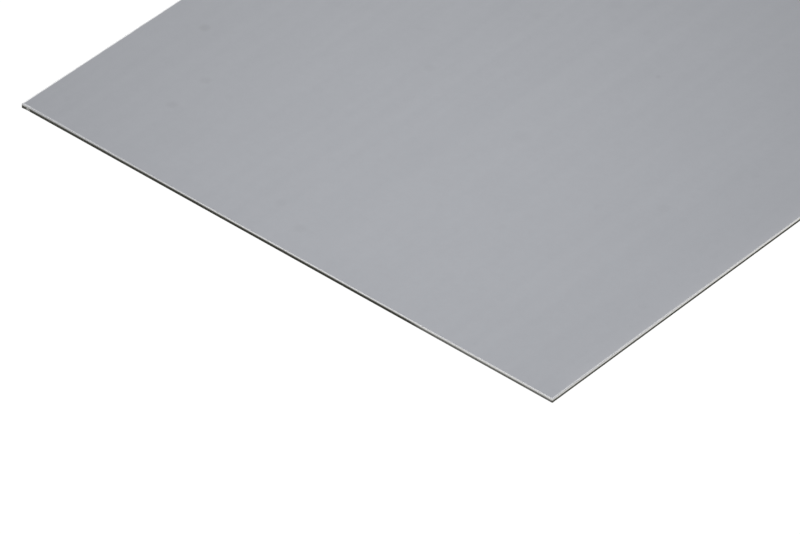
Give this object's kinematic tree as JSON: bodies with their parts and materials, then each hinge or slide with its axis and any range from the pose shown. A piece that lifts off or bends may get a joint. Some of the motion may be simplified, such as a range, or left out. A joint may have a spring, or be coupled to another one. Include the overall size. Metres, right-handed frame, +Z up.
{
  "type": "plastic sheet",
  "caption": "Flat rectangular sheet of rigid grey plastic with guillotine-sheared edges, lying flat, for cutting, bonding and panelling.",
  "frame": {"origin": "middle of the underside, on the surface that the sheet lies on", "axes": "+X along the long sides, +Y across the width, +Z up through the thickness to the face whose edges are rolled over"},
  "size_m": [0.5, 0.25, 0.002],
  "materials": {
    "rigid_plastic": "satin"
  },
  "bodies": {
    "root": {"sheet": "rigid_plastic"}
  },
  "joints": []
}
